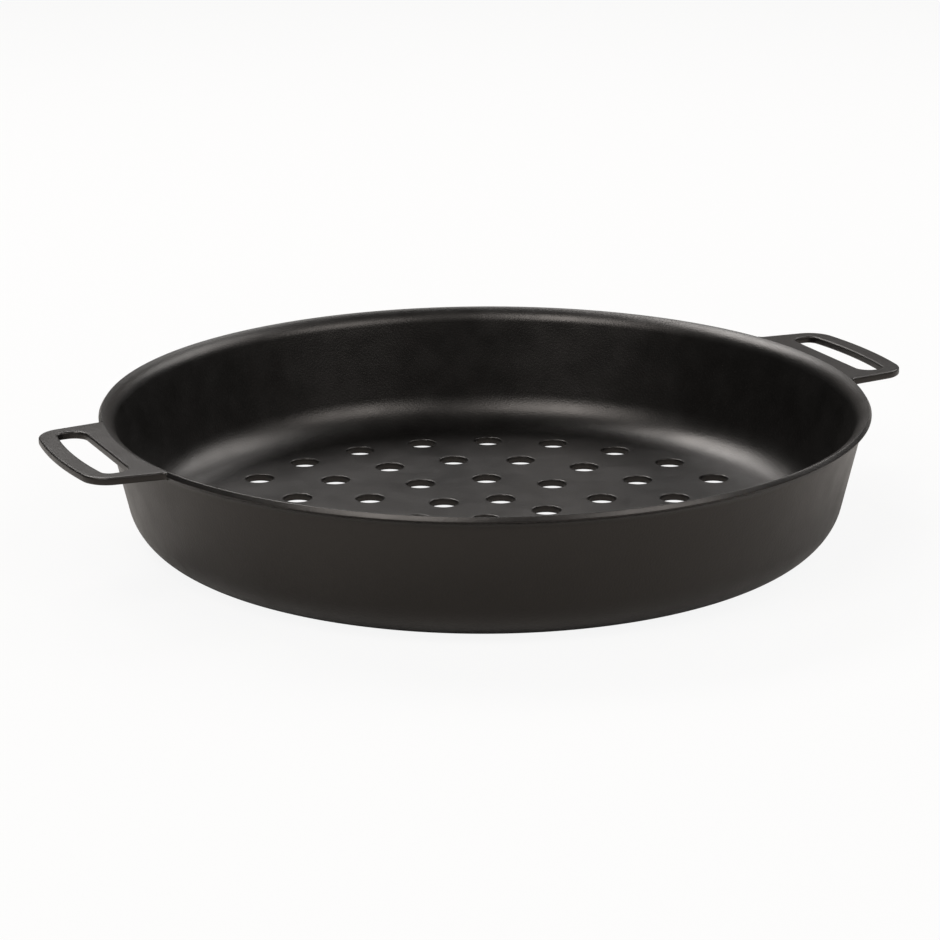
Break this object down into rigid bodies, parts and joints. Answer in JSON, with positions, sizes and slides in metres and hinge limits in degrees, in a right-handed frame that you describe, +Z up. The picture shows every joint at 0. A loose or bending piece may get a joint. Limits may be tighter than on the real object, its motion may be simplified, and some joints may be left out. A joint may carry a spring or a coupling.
{
  "type": "perforated grill pan",
  "caption": "Round black-coated steel grill pan with a drilled floor, a leaning wall, a flared lip and a flat loop handle welded on at each side, for cooking over an open grill.",
  "frame": {"origin": "middle of the flat base, on the surface that the pan stands on", "axes": "+X along the handles towards the right one, +Z up out of the pan's mouth"},
  "size_m": [0.35, 0.3, 0.052],
  "materials": {
    "body_coating": "matte grained black non-stick coating on steel",
    "handle_coating": "matte grained black coating on steel plate",
    "weld_coating": "matte black coating over a weld bead"
  },
  "bodies": {
    "root": {"pan_body": "body_coating", "right_handle": "handle_coating", "left_handle": "handle_coating", "right_handle_weld": "weld_coating", "left_handle_weld": "weld_coating"}
  },
  "joints": []
}
